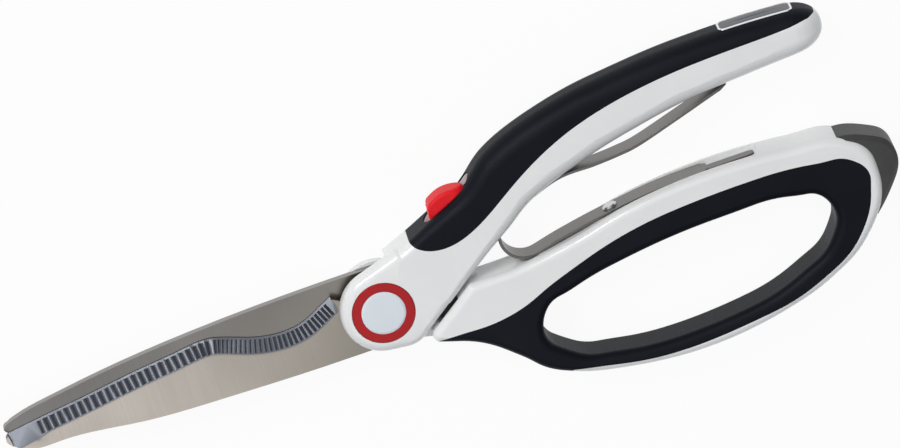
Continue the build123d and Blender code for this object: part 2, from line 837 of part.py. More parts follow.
def pivot_washer():
    return slab(Circle(washer_radius) - Circle(bolt_radius + running_gap), washer_low, washer_high)


def pivot_nut():
    hexagon = RegularPolygon(nut_across_flats / 2, 6, major_radius=False)
    return slab(hexagon - Circle(bolt_radius + running_gap), washer_high, washer_high + nut_thickness)


washer_low = front_blade_high + face_gap
washer_high = washer_low + washer_thickness
seat_height = handle_depth - ring_seat_depth


def pivot_ring():
    ring = slab(Circle(ring_radius) - Circle(ring_inner_radius), seat_height, seat_height + ring_thickness)
    return chamfer(ring.edges().group_by(Axis.Z)[-1], fit_gap)


def pivot_cap():
    """The white cap: a bevelled disc with a short skirt that plugs the nut's room."""
    top = seat_height + ring_thickness + cap_crown
    disc = slab(Circle(ring_inner_radius - running_gap), seat_height, top)
    disc = chamfer(disc.edges().group_by(Axis.Z)[-1], cap_crown, 2 * cap_crown)
    skirt_outer = nut_room_radius - running_gap
    skirt = Circle(skirt_outer) - Circle(skirt_outer - cap_skirt_wall)
    return disc + slab(skirt, seat_height - cap_skirt_depth, seat_height)


# Thumb lock pieces


def lock_slider():
    """The thumb button: a humped block with ribs on its steep side, slotted for the bolt's tab."""
    floor = slot_floor + running_gap
    points = [(slider_start + x * slider_length, floor + y * slider_height) for x, y in slider_shares]
    block = slab(lock_frame() * make_face(Polyline(*points, close=True)),
                 z_mid - slider_width / 2, z_mid + slider_width / 2)
    top = [edge for edge in block.edges() if lock_side(edge.center()) > slot_floor + slider_height / 4]
    block = chamfer(top, slider_edge_width) & round_ended(slider_start, slider_length, slider_width)
    low, high = points[1], points[2]
    for index in range(rib_count):
        share = (index + 0.5) / rib_count
        place = Pos(low[0] + share * (high[0] - low[0]), low[1] + share * (high[1] - low[1]), z_mid)
        cutter = Rot(0, 0, 45) * Box(2 * rib_depth, 2 * rib_depth, 2 * slider_width)
        groove = lock_frame() * (place * cutter)
        block -= groove
    tab_room = lock_box(
        bolt_far - lock_tab_length - fit_gap, bolt_far + fit_gap, 0,
        bolt_side_high + lock_tab_height + fit_gap, bolt_low - fit_gap, bolt_high + fit_gap,
    )
    return block - tab_room


def lock_side(point):
    """How far a point lies across the lock's travel."""
    angle = math.radians(lock_heading)
    return point.Y * math.cos(angle) - point.X * math.sin(angle)


def lock_bolt():
    """A stamped plate: a nose for the keeper notch and a tab up into the button."""
    plate = lock_box(bolt_nose, bolt_far, bolt_side_low, bolt_side_high, bolt_low, bolt_high)
    tab = lock_box(bolt_far - lock_tab_length, bolt_far, bolt_side_low,
                   bolt_side_high + lock_tab_height, bolt_low, bolt_high)
    return plate + tab


def lock_detent_spring():
    """An arched leaf that rubs on the bolt's side and holds it where it is put."""
    far_side = bolt_side_low - fit_gap - detent_rise - detent_thickness / 2
    near_side = bolt_side_low - fit_gap - detent_thickness / 2
    ends = (detent_start, far_side), (detent_start + detent_length, far_side)
    arch = ThreePointArc(ends[0], (detent_start + detent_length / 2, near_side - running_gap), ends[1])
    return slab(lock_frame() * trace(arch, line_width=detent_thickness), bolt_low, bolt_high)


def save(name, shape):
    solids = shape.solids()
    print(name, len(solids), "solid", [round(s.volume, 2) for s in solids], "mm3")
    export_step(shape if len(solids) > 1 else solids[0], f"parts/{name}.step")


save("serrated_blade", serrated_blade())
save("plain_blade", plain_blade())
front, rear, grip, badge = upper_handle_pieces()
save("upper_handle_front_shell", front)
save("upper_handle_rear_shell", rear)
save("upper_grip", grip)
save("badge_plate", badge)
front, rear, lining, bumper = lower_handle_pieces()
save("lower_handle_front_shell", front)
save("lower_handle_rear_shell", rear)
save("lower_grip", lining)
save("end_bumper", bumper)
save("handle_spring", handle_spring())
save("spring_rivet", spring_rivet())
save("upper_tang_pin", tang_pin(upper_tang_heading, upper_tang_side, upper_tang_length))
save("lower_tang_pin", tang_pin(lower_tang_heading, lower_tang_side, lower_tang_length))
save("pivot_bolt", pivot_bolt())
save("pivot_washer", pivot_washer())
save("pivot_nut", pivot_nut())
save("pivot_ring", pivot_ring())
save("pivot_cap", pivot_cap())
save("lock_slider", lock_slider())
save("lock_bolt", lock_bolt())
save("lock_detent_spring", lock_detent_spring())
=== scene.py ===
# %% [markdown]
# # Kitchen shears
# These shears have two blades that cross at a pivot with a red ring. Their handles are white moulded
# plastic with soft black parts, a flat spring pushes them apart, and a red thumb button locks them shut.
#
# The solid parts come from a imported CAD model, in metres and already in place. Blender's job is the looks:
# a camera where the photographer stood, soft studio light, a finish for every surface, and pieces of its
# own such as the spring.

# %% Load the frame
import json
import math
import bmesh
import bpy
from mathutils import Matrix, Vector
from mathutils.bvhtree import BVHTree

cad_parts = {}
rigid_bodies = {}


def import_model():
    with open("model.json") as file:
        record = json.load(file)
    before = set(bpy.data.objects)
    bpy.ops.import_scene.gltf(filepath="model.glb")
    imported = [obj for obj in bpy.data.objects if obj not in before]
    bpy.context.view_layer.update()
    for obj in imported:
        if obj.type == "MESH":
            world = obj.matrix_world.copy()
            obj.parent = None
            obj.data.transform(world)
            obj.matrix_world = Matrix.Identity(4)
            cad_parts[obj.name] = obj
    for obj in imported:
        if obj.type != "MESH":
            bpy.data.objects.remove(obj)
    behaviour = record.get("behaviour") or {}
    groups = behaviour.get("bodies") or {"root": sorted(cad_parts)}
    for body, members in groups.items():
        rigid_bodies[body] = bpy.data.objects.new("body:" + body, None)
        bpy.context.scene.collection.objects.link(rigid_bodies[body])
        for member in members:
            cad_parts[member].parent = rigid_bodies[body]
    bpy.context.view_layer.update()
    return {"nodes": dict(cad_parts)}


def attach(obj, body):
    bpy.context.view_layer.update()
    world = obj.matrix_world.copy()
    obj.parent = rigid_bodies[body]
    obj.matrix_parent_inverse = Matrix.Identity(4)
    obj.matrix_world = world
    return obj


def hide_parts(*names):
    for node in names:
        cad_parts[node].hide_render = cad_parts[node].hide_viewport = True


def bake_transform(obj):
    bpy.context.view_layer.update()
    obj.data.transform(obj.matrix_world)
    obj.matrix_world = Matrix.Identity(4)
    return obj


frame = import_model()
part = frame["nodes"]
scene = bpy.context.scene
scene.view_settings.view_transform = "Standard"
mm = 0.001

# %% [markdown]
# ## The camera
# The photograph looks down on the front faces, tipped by 21 degrees so that the handles' outer sides show,
# and the picture is turned by 19 degrees so that the blades point down to the left. Lines that run away
# from the viewer stay all but parallel in it. A camera without any perspective could show that, but a long
# lens a few metres off keeps the little that a real one has. A camera's own X, Y and Z point right, up and
# back, so three such directions make its rotation.

# %% The camera
tip_angle = math.radians(21)
turn_angle = math.radians(19)
camera_distance = 2.6
farthest_seen = 20
picture_width = 244.6 * mm
picture_middle = Vector((24.9, 15.9, 7.9)) * mm

back = Vector((0, math.sin(tip_angle), math.cos(tip_angle)))
level = Vector((0, math.cos(tip_angle), -math.sin(tip_angle)))
right = Vector((1, 0, 0)) * math.cos(turn_angle) - level * math.sin(turn_angle)
up = Vector((1, 0, 0)) * math.sin(turn_angle) + level * math.cos(turn_angle)

camera_data = bpy.data.cameras.new("long_lens")
camera_data.lens = camera_data.sensor_width * camera_distance / picture_width
camera_data.clip_end = farthest_seen
camera = bpy.data.objects.new("camera", camera_data)
scene.collection.objects.link(camera)
turned = Matrix((right, up, back)).transposed().to_4x4()
camera.matrix_world = Matrix.Translation(picture_middle + back * camera_distance) @ turned
scene.camera = camera
print("lens in mm:", round(camera_data.lens))

# %% [markdown]
# ## Floor and light
# The background of the photograph is plain white. A white floor alone renders grey where the lamps are weak,
# and a floor that only glows takes no shadow, so the shears would seem to float. So the floor is paper that
# the lamps light, and part of what the camera sees of it is its own glow. The Light Path node tells the rays
# apart: those from the camera, from gloss and through glass see the glow, and the light that bounces onto
# the shears does not grow.

# %% Paper that glows for the camera
paper_white = 0.9
paper_glow = 0.93


def white_seen(tree, lit, glow_share):
    """A glow that camera and mirror rays see, mixed over a lit surface."""
    nodes, links = tree.nodes, tree.links
    rays = nodes.new("ShaderNodeLightPath")
    seen = rays.outputs["Is Camera Ray"]
    for kind in ("Is Glossy Ray", "Is Transmission Ray"):
        either = nodes.new("ShaderNodeMath")
        either.operation = "MAXIMUM"
        links.new(seen, either.inputs[0])
        links.new(rays.outputs[kind], either.inputs[1])
        seen = either.outputs[0]
    share = nodes.new("ShaderNodeMath")
    share.operation = "MULTIPLY"
    share.inputs[1].default_value = glow_share
    links.new(seen, share.inputs[0])
    glow = nodes.new("ShaderNodeEmission")
    mix = nodes.new("ShaderNodeMixShader")
    links.new(share.outputs[0], mix.inputs[0])
    links.new(lit, mix.inputs[1])
    links.new(glow.outputs[0], mix.inputs[2])
    return mix.outputs[0]


paper = bpy.data.materials.new("white_paper")
paper.use_nodes = True
paper.node_tree.nodes.clear()
lit_paper = paper.node_tree.nodes.new("ShaderNodeBsdfDiffuse")
lit_paper.inputs["Color"].default_value = (paper_white, paper_white, paper_white, 1)
paper_out = paper.node_tree.nodes.new("ShaderNodeOutputMaterial")
seen_paper = white_seen(paper.node_tree, lit_paper.outputs[0], paper_glow)
paper.node_tree.links.new(seen_paper, paper_out.inputs[0])
print("nodes of the paper:", len(paper.node_tree.nodes))

# %% Floor
floor_reach = 6.0
floor_drop = 0.2 * mm

floor_corners = [(-floor_reach, -floor_reach, 0), (floor_reach, -floor_reach, 0),
                 (floor_reach, floor_reach, 0), (-floor_reach, floor_reach, 0)]
floor_mesh = bpy.data.meshes.new("floor")
floor_mesh.from_pydata(floor_corners, [], [(0, 1, 2, 3)])
floor_mesh.materials.append(paper)
floor = bpy.data.objects.new("floor", floor_mesh)
floor.location.z = -floor_drop
scene.collection.objects.link(floor)
print("floor's side in m:", 2 * floor_reach, "below the shears by mm:", round(floor_drop / mm, 1))

# %% [markdown]
# ### The room
# A studio's walls throw a little light on the sides that no lamp reaches. A panorama of a room could do
# that, but these plain shades show no reflection of it, so one even, slightly blue light is enough.

# %% World
world = bpy.data.worlds.new("studio")
scene.world = world
world.use_nodes = True
room = world.node_tree.nodes["Background"]
room.inputs["Color"].default_value = (0.93, 0.96, 1.0, 1)
room.inputs["Strength"].default_value = 0.24
print("strength of the room's light:", round(room.inputs["Strength"].default_value, 2))

# %% [markdown]
# ### Lamps
# In the photograph wide, soft highlights lie along the handles, brightest on their outer sides. A sun or a
# small lamp would draw hard edges there. An area lamp gets softer as it gets larger, so a wide one hangs
# over everything, a smaller and stronger one stands behind the upper handle, and a weak card lifts the
# blades' tips.

# %% Lamps
def soft_lamp(name, place, size, power, tint, aim=(0.03, 0.01, 0)):
    """A square lamp that faces the shears."""
    data = bpy.data.lights.new(name, "AREA")
    data.size = size
    data.energy = power
    data.color = tint
    lamp = bpy.data.objects.new(name, data)
    lamp.location = place
    lamp.rotation_euler = (Vector(aim) - Vector(place)).to_track_quat("-Z", "Y").to_euler()
    scene.collection.objects.link(lamp)


soft_lamp("wide_softbox_overhead", place=(-0.25, 0.2, 1.6), size=2.4, power=12.5, tint=(1.0, 0.99, 0.98))
soft_lamp("key_from_behind_the_top", place=(-0.55, 1.1, 1.0), size=0.7, power=11.0, tint=(1.0, 0.99, 0.97))
soft_lamp("card_over_the_tips", place=(-0.13, -0.17, 0.42), size=0.2, power=0.10, tint=(1.0, 0.98, 0.95),
          aim=(-0.1, 0, 0))

# %% [markdown]
# ## Finishes
# Each finish is one material made of nodes. Pictures of plastic and steel could be wrapped round the parts,
# but every part would have to be unwrapped first. Noise needs no unwrapping, and it varies what really
# varies: the colour a little, the roughness more, and the surface's height through a Bump node. Its
# coordinates come from the object, which are metres here, so a scale of 2000 is grain half a millimetre
# wide on every part. Constants go straight on the Principled shader's sockets.

# %% A finish and its grain
def new_finish(name, color, roughness, metallic=0.0):
    """A material with a Principled shader, its nodes and its links."""
    material = bpy.data.materials.new(name)
    material.use_nodes = True
    nodes, links = material.node_tree.nodes, material.node_tree.links
    shader = nodes["Principled BSDF"]
    shader.inputs["Base Color"].default_value = (*color, 1)
    shader.inputs["Roughness"].default_value = roughness
    shader.inputs["Metallic"].default_value = metallic
    return material, shader, nodes, links


def grain(nodes, links, scale, stretch=(1, 1, 1), detail=3.0):
    """Noise over the object, stretched along one way for brushed metal."""
    place = nodes.new("ShaderNodeTexCoord")
    mapping = nodes.new("ShaderNodeMapping")
    mapping.inputs["Scale"].default_value = stretch
    links.new(place.outputs["Object"], mapping.inputs["Vector"])
    noise = nodes.new("ShaderNodeTexNoise")
    noise.inputs["Scale"].default_value = scale
    noise.inputs["Detail"].default_value = detail
    links.new(mapping.outputs["Vector"], noise.inputs["Vector"])
    return noise.outputs["Fac"]


print("width of the grain in mm at a scale of 2000:", round(1 / 2000 / mm, 2))

# %% [markdown]
# ### What the grain drives
# Most of a noise texture's values lie near its middle, from about 0.3 to 0.7. A helper maps that range onto
# two roughnesses, another one onto two nearby colours, and a third one turns the noise into low hills. Real
# hills in the mesh would need millions of faces. Bump only tilts the light on the surface, which is enough
# for grain.

# %% Roughness, shades and bump
noise_low, noise_high = 0.3, 0.7


def spread(nodes, links, value, low, high):
    """Map noise onto a range of roughness."""
    node = nodes.new("ShaderNodeMapRange")
    node.inputs["From Min"].default_value = noise_low
    node.inputs["From Max"].default_value = noise_high
    node.inputs["To Min"].default_value = low
    node.inputs["To Max"].default_value = high
    links.new(value, node.inputs["Value"])
    return node.outputs["Result"]


def shades(nodes, links, value, dark, light):
    """Map noise onto two nearby colours."""
    ramp = nodes.new("ShaderNodeValToRGB")
    ramp.color_ramp.elements[0].position = noise_low
    ramp.color_ramp.elements[0].color = (*dark, 1)
    ramp.color_ramp.elements[1].position = noise_high
    ramp.color_ramp.elements[1].color = (*light, 1)
    links.new(value, ramp.inputs["Fac"])
    return ramp.outputs["Color"]


def bumped(nodes, links, shader, value, strength, height):
    """Let noise tilt the light as hills of this height would."""
    bump = nodes.new("ShaderNodeBump")
    bump.inputs["Strength"].default_value = strength
    bump.inputs["Distance"].default_value = height
    links.new(value, bump.inputs["Height"])
    links.new(bump.outputs["Normal"], shader.inputs["Normal"])


print("noise is used from", noise_low, "to", noise_high)

# %% [markdown]
# ### White moulded plastic
# The shells and the pivot's cap are hard white plastic. Polished moulds leave it glossy, yet never quite
# flat: it has sunk a little as it cooled. A single glossy shade would look like paint on a perfect wall, so
# a large soft noise bends the highlights, and a slight blue keeps the white from looking like chalk. The
# cap is bluer.

# %% White plastic
def moulded_white(name, dark, light):
    """Glossy white plastic with faint sink marks."""
    material, shader, nodes, links = new_finish(name, light, roughness=0.24)
    shader.inputs["Coat Weight"].default_value = 0.25
    shader.inputs["Coat Roughness"].default_value = 0.12
    shader.inputs["Subsurface Weight"].default_value = 0.06
    shader.inputs["Subsurface Radius"].default_value = (0.0015, 0.0013, 0.0011)
    sink = grain(nodes, links, scale=70, detail=2)
    links.new(shades(nodes, links, sink, dark, light), shader.inputs["Base Color"])
    fine = grain(nodes, links, scale=900)
    links.new(spread(nodes, links, fine, 0.18, 0.27), shader.inputs["Roughness"])
    bumped(nodes, links, shader, sink, strength=0.12, height=0.3 * mm)
    return material


white = moulded_white("moulded_white", dark=(0.86, 0.87, 0.88), light=(0.89, 0.90, 0.905))
cap_white = moulded_white("cap_white", dark=(0.74, 0.81, 0.87), light=(0.78, 0.84, 0.90))
print("white plastics:", white.name, cap_white.name)

# %% [markdown]
# ### Soft black grip
# The grip and the loop's lining are a rubbery plastic with a fine, even texture from a sand-blasted mould.
# Black plastic in general has a clear highlight, while this one's is wide, dim and a little blue. So the
# shader keeps only a weak, tinted gloss, fine noise makes it rough, and broad noise stands for the wear of
# hands.

# %% Soft black
def soft_black():
    """Rubbery black with a blasted grain."""
    dark, light = (0.0035, 0.0042, 0.0075), (0.006, 0.007, 0.011)
    material, shader, nodes, links = new_finish("soft_black", light, roughness=0.5)
    shader.inputs["Specular IOR Level"].default_value = 0.16
    shader.inputs["Specular Tint"].default_value = (0.78, 0.86, 1.0, 1)
    blast = grain(nodes, links, scale=3200, detail=4)
    wear = grain(nodes, links, scale=45, detail=2)
    links.new(shades(nodes, links, wear, dark, light), shader.inputs["Base Color"])
    links.new(spread(nodes, links, blast, 0.42, 0.58), shader.inputs["Roughness"])
    bumped(nodes, links, shader, blast, strength=0.25, height=0.06 * mm)
    return material


black = soft_black()
print("soft black has", len(black.node_tree.nodes), "nodes")

# %% [markdown]
# ### Steel
# The blades were ground and then brushed across, so fine scratches run from the spine to the edge. Thousands
# of tiny grooves could be modelled, but nobody would see their shape, only how they stretch the light. So
# noise is squeezed along X and drawn out along Y, and anisotropy smears the highlights across it.
#
# A blade's flats, its bevel and its narrow edges were ground in different ways and differ in shade. Some of
# these colours hold painted light as well: the front blade's near-black edge is a painted shadow, its
# bevel's bluish tint is partly a painted reflection, and each root takes painted shade on the front blade
# and painted light on the rear one. The parts could be told apart face by face, but the direction that a
# surface faces does it within one material: flats face straight up, a bevel leans a little and an edge
# leans much. The place along X gives each blade's root its painted colour.

# %% Shares that mix one steel into another
def blended(nodes, links, share, first, second):
    """One colour turning into another by a share from 0 to 1."""
    mix = nodes.new("ShaderNodeMix")
    mix.data_type = "RGBA"
    links.new(share, mix.inputs["Factor"])
    for socket, colour in ((mix.inputs[6], first), (mix.inputs[7], second)):
        if isinstance(colour, tuple):
            socket.default_value = (*colour, 1)
        else:
            links.new(colour, socket)
    return mix.outputs[2]


def ramped(nodes, links, value, low, high):
    """A share that runs from 0 to 1 as the value runs from low to high."""
    node = nodes.new("ShaderNodeMapRange")
    node.inputs["From Min"].default_value = low
    node.inputs["From Max"].default_value = high
    links.new(value, node.inputs["Value"])
    return node.outputs["Result"]


# Towards the pivot each blade's root takes a painted colour along X: painted shade on the front blade,
# painted light on the rear one.
painted_root_fade = (-75 * mm, -8 * mm)
bevel_lean = (0.975, 0.95)
edge_lean = (0.45, 0.25)
print("a bevel starts at degrees of lean:", round(math.degrees(math.acos(bevel_lean[0])), 1),
      "and an edge at:", round(math.degrees(math.acos(edge_lean[0])), 1))

# %% Brushed steel
scratch_dark, scratch_light = 0.94, 1.04


def grind_and_painted_light(nodes, links, seen, bevel, edge, root):
    """A blade's colours: for its root by the pivot, painted light and shade; for its bevel and its narrow
    edges, their grind with painted light in it.
    """
    place = nodes.new("ShaderNodeTexCoord")
    spot = nodes.new("ShaderNodeSeparateXYZ")
    facing = nodes.new("ShaderNodeSeparateXYZ")
    links.new(place.outputs["Object"], spot.inputs[0])
    links.new(place.outputs["Normal"], facing.inputs[0])
    seen = blended(nodes, links, ramped(nodes, links, spot.outputs["X"], *painted_root_fade), seen, root)
    seen = blended(nodes, links, ramped(nodes, links, facing.outputs["Z"], *bevel_lean), seen, bevel)
    return blended(nodes, links, ramped(nodes, links, facing.outputs["Z"], *edge_lean), seen, edge)


def brushed_across(name, color, scratch, rough_low, rough_high, bevel=None, edge=None, root=None):
    """Brushed steel. A blade also gets colours for its bevel, its edges and its root, with painted light and
    shade in them.
    """
    material, shader, nodes, links = new_finish(name, color, roughness=0.3, metallic=1.0)
    shader.inputs["Anisotropic"].default_value = 0.5
    scratches = grain(nodes, links, scale=60, stretch=(scratch, 0.6, 0.6), detail=5)
    cloud = grain(nodes, links, scale=30, detail=2)
    dark = tuple(scratch_dark * c for c in color)
    light = tuple(min(1, scratch_light * c) for c in color)
    seen = shades(nodes, links, scratches, dark, light)
    if bevel:
        seen = grind_and_painted_light(nodes, links, seen, bevel, edge, root)
    links.new(seen, shader.inputs["Base Color"])
    links.new(spread(nodes, links, cloud, rough_low, rough_high), shader.inputs["Roughness"])
    bumped(nodes, links, shader, scratches, strength=0.18, height=0.02 * mm)
    return material


# %% The four steels
# Front blade: its near-black edge colour paints the shadow along the cutting edge, its bevel's bluish tint
# is partly a painted reflection, and its root colour is painted shade.
front_steel = brushed_across("front_blade_steel", (0.44, 0.405, 0.37), 45, 0.30, 0.38,
                             bevel=(0.15, 0.16, 0.185), edge=(0.05, 0.045, 0.035), root=(0.27, 0.25, 0.22))
# Rear blade: its lighter root colour is painted light.
rear_steel = brushed_across("rear_blade_steel", (0.21, 0.205, 0.20), 60, 0.34, 0.44,
                            bevel=(0.15, 0.15, 0.15), edge=(0.30, 0.29, 0.28), root=(0.24, 0.225, 0.205))
spring_steel = brushed_across("spring_steel", (0.17, 0.165, 0.16), 25, 0.32, 0.42)
turned_steel = brushed_across("turned_steel", (0.62, 0.62, 0.63), 30, 0.25, 0.36)
print("steels:", [steel.name for steel in (front_steel, rear_steel, spring_steel, turned_steel)])

# %% [markdown]
# ### Red and grey plastics
# The ring and the thumb button are red plastic, and the bumper at the loop's end is dark grey. All three
# come from finely grained moulds, so their highlights are small and soft. Each could have a material of its
# own, but they differ only in shade, roughness and grain, so one helper makes them all. The reds get a weak
# gloss, which keeps them deep instead of pink.

# %% Red and grey
def moulded_colour(name, dark, light, rough_low, rough_high, grain_scale, depth, gloss=0.5):
    """Coloured plastic from a grained mould."""
    material, shader, nodes, links = new_finish(name, light, roughness=rough_low)
    shader.inputs["Specular IOR Level"].default_value = gloss
    fine = grain(nodes, links, scale=grain_scale, detail=3)
    broad = grain(nodes, links, scale=120, detail=2)
    links.new(shades(nodes, links, broad, dark, light), shader.inputs["Base Color"])
    links.new(spread(nodes, links, fine, rough_low, rough_high), shader.inputs["Roughness"])
    bumped(nodes, links, shader, fine, strength=0.2, height=depth)
    return material


ring_red = moulded_colour("ring_red", (0.43, 0.008, 0.011), (0.49, 0.010, 0.014), 0.32, 0.42,
                          grain_scale=2500, depth=0.03 * mm, gloss=0.25)
button_red = moulded_colour("button_red", (0.80, 0.008, 0.016), (0.88, 0.012, 0.020), 0.34, 0.46,
                            grain_scale=2200, depth=0.04 * mm, gloss=0.18)
bumper_grey = moulded_colour("bumper_grey", (0.042, 0.040, 0.040), (0.058, 0.055, 0.055), 0.45, 0.6,
                             grain_scale=2600, depth=0.06 * mm)
print("coloured plastics:", ring_red.name, button_red.name, bumper_grey.name)

# %% [markdown]
# ### The badge's metal
# The badge is thin sheet with a bright rim and a darker face, both brushed lengthways. The steel's helper
# could serve, but it has scratches that run across, so here the noise is drawn out along X instead. The two
# metals differ only in how dark they are.

# %% Badge metal
def badge_metal(name, dark, light):
    """Sheet metal brushed along the badge."""
    material, shader, nodes, links = new_finish(name, light, roughness=0.3, metallic=1.0)
    lines = grain(nodes, links, scale=50, stretch=(0.5, 40, 40), detail=4)
    links.new(shades(nodes, links, lines, dark, light), shader.inputs["Base Color"])
    links.new(spread(nodes, links, lines, 0.26, 0.36), shader.inputs["Roughness"])
    bumped(nodes, links, shader, lines, strength=0.15, height=0.02 * mm)
    return material


badge_silver = badge_metal("badge_rim", dark=(0.80, 0.81, 0.84), light=(0.90, 0.91, 0.93))
badge_brushed = badge_metal("badge_face", dark=(0.085, 0.09, 0.105), light=(0.14, 0.145, 0.165))
print("badge metals:", badge_silver.name, badge_brushed.name)

# %% [markdown]
# ### One skin for each part
# A CAD part's surfaces arrive as separate patches, each with its own normals, so light breaks where two
# patches meet. The mesh itself has to stay as it is, so modifiers mend its shading. A small one made of
# geometry nodes welds the patches, drops the stored normals and keeps an edge sharp only where it turns by
# more than 31 degrees. The Weighted Normal modifier after it lets large flat faces win over narrow ones, so
# flats stay flat.

# %% A modifier that shades patches as one skin
sharp_angle = math.radians(31)
weld_distance = 0.001 * mm


def skin_nodes():
    """Geometry nodes: weld the patches, and keep the edges sharp that turn by more than the angle."""
    tree = bpy.data.node_groups.new("one_skin", "GeometryNodeTree")
    tree.interface.new_socket("Geometry", in_out="INPUT", socket_type="NodeSocketGeometry")
    tree.interface.new_socket("Geometry", in_out="OUTPUT", socket_type="NodeSocketGeometry")
    start = tree.nodes.new("NodeGroupInput")
    end = tree.nodes.new("NodeGroupOutput")
    weld = tree.nodes.new("GeometryNodeMergeByDistance")
    weld.inputs["Distance"].default_value = weld_distance
    angle = tree.nodes.new("GeometryNodeInputMeshEdgeAngle")
    steep = tree.nodes.new("FunctionNodeCompare")
    steep.operation = "GREATER_THAN"
    steep.inputs["B"].default_value = sharp_angle
    shade = tree.nodes.new("GeometryNodeSetMeshNormal")
    shade.mode = "SHARPNESS"
    shade.inputs["Remove Custom"].default_value = True
    shade.inputs["Face Sharpness"].default_value = False
    tree.links.new(start.outputs[0], weld.inputs["Geometry"])
    tree.links.new(weld.outputs[0], shade.inputs["Mesh"])
    tree.links.new(angle.outputs["Unsigned Angle"], steep.inputs["A"])
    tree.links.new(steep.outputs["Result"], shade.inputs["Edge Sharpness"])
    tree.links.new(shade.outputs[0], end.inputs[0])
    return tree


one_skin = skin_nodes()
print("nodes of the skin modifier:", len(one_skin.nodes))

# %% [markdown]
# ### Dress the solid parts
# The real shears use few materials: two blade steels, white and black plastic, two reds, a grey and some
# turned metal. Each part could get its finish by hand in the Properties editor. A table says the same in
# one place and is easy to check against the object. A finish goes into the part's own material slot, and
# every face uses it.

# %% Give each part its finish
def shade_as_one(solid):
    """Shade a part as one skin, with its flats flat."""
    skin = solid.modifiers.new("one_skin", "NODES")
    skin.node_group = one_skin
    weigh = solid.modifiers.new("flats_stay_flat", "WEIGHTED_NORMAL")
    weigh.mode = "FACE_AREA_WITH_ANGLE"
    weigh.weight = 50
    weigh.keep_sharp = True


finishes = {
    "serrated_blade": front_steel,
    "plain_blade": rear_steel,
    "upper_handle_front_shell": white,
    "upper_handle_rear_shell": white,
    "upper_grip": black,
    "badge_plate": badge_silver,
    "lower_handle_front_shell": white,
    "lower_handle_rear_shell": white,
    "lower_grip": black,
    "end_bumper": bumper_grey,
    "spring_rivet": turned_steel,
    "upper_tang_pin": turned_steel,
    "lower_tang_pin": turned_steel,
    "pivot_bolt": turned_steel,
    "pivot_washer": turned_steel,
    "pivot_nut": turned_steel,
    "pivot_ring": ring_red,
    "pivot_cap": cap_white,
    "lock_slider": button_red,
    "lock_bolt": turned_steel,
    "lock_detent_spring": spring_steel,
}
for name, finish in finishes.items():
    mesh = part[name].data
    mesh.materials.clear()
    mesh.materials.append(finish)
    for face in mesh.polygons:
        face.material_index = 0
    shade_as_one(part[name])
print("finished parts:", len(finishes))

# %% [markdown]
# ## The upper handle's smooth skin
# The CAD model draws the upper handle straight from one section to the next, which leaves flat bands. The
# real one was moulded to one smooth form. A modifier that smooths the whole mesh would also round off the
# seam, the button's slot and the badge's seat. So each of the handle's three pieces is copied and cut into
# narrow slices, and only the points that lie on the outer skin move, to the nearest point of a smooth body
# through the same sections.
#
# That body needs a line that runs smoothly through given points. Each stretch of it is a cubic curve whose
# slope at a point comes from the two points beside it. The handle spring uses the same line.

# %% A smooth line
line_steps = 8


def smooth_line(points, steps):
    """A line that runs smoothly through the points."""
    before = Vector(points[0]) * 2 - Vector(points[1])
    after = Vector(points[-1]) * 2 - Vector(points[-2])
    knots = [before, *[Vector(point) for point in points], after]
    line = []
    for a, b, c, d in zip(knots, knots[1:], knots[2:], knots[3:]):
        for step in range(steps):
            t = step / steps
            ease = (c - a) * t + (a * 2 - b * 5 + c * 4 - d) * t**2 + (b * 3 - a - c * 3 + d) * t**3
            line.append(b + ease / 2)
    return line + [knots[-2]]


print("points of a line through three:", len(smooth_line([(0, 0), (1, 1), (2, 0)], line_steps)))

# %% [markdown]
# ### The handle's sections
# Cut across, the handle is a rounded rectangle that rises from the pivot, swells behind the button and gets
# narrower towards its end. Sections could be measured off the mesh, but a list is exact. The rows below are
# the ones that the CAD model is drawn through, as shares of the handle's reach, rise, width and depth.

# %% The handle's sections
handle_reach = 138.0 * mm
handle_rise = 44.3 * mm
handle_width = 19.7 * mm
handle_depth = 14.0 * mm
handle_edge = 5.6 * mm
middle_z = handle_depth / 2
depth_allowance = 0.2 * mm

# The lower edge's place, the heading in degrees, then width, depth and edge radius as shares
handle_rows = [
    (0.131, -0.097, 36.5, 1.100, 1.00, 0.46),
    (0.184, 0.023, 36.5, 0.995, 1.00, 0.54),
    (0.235, 0.131, 36.0, 0.929, 1.00, 0.64),
    (0.290, 0.235, 34.0, 0.888, 1.00, 0.79),
    (0.342, 0.341, 27.0, 0.964, 1.00, 0.93),
    (0.409, 0.424, 22.0, 0.990, 1.00, 1.00),
    (0.507, 0.517, 15.0, 0.954, 1.00, 1.00),
    (0.597, 0.580, 10.0, 0.888, 1.00, 1.00),
    (0.686, 0.630, 6.5, 0.827, 1.00, 1.00),
    (0.772, 0.657, 4.0, 0.777, 1.00, 0.96),
    (0.857, 0.677, 1.5, 0.721, 1.00, 0.93),
    (0.931, 0.691, -1.0, 0.660, 0.98, 0.89),
    (0.973, 0.720, -2.0, 0.533, 0.80, 0.71),
    (0.995, 0.774, -2.0, 0.279, 0.47, 0.39),
]


def handle_section(row):
    """A section as its middle's x and y, its heading, its width, its depth and its edge radius."""
    x, y, heading, width, depth, edge = row
    turn = math.radians(heading)
    half = width * handle_width / 2
    return (x * handle_reach - math.sin(turn) * half, y * handle_rise + math.cos(turn) * half, turn,
            2 * half, depth * handle_depth + depth_allowance, edge * handle_edge)


sections = [handle_section(row) for row in handle_rows]
print("sections given:", len(sections))

# %% [markdown]
# ### The handle's nose
# The real handle ends in a full, rounded nose. The last two rows close it in two straight steps, so the
# smooth body leaves them out and closes with a squarer kind of circle: with a power of 2 it would be round,
# and with a larger one it stays full for longer before it turns in.

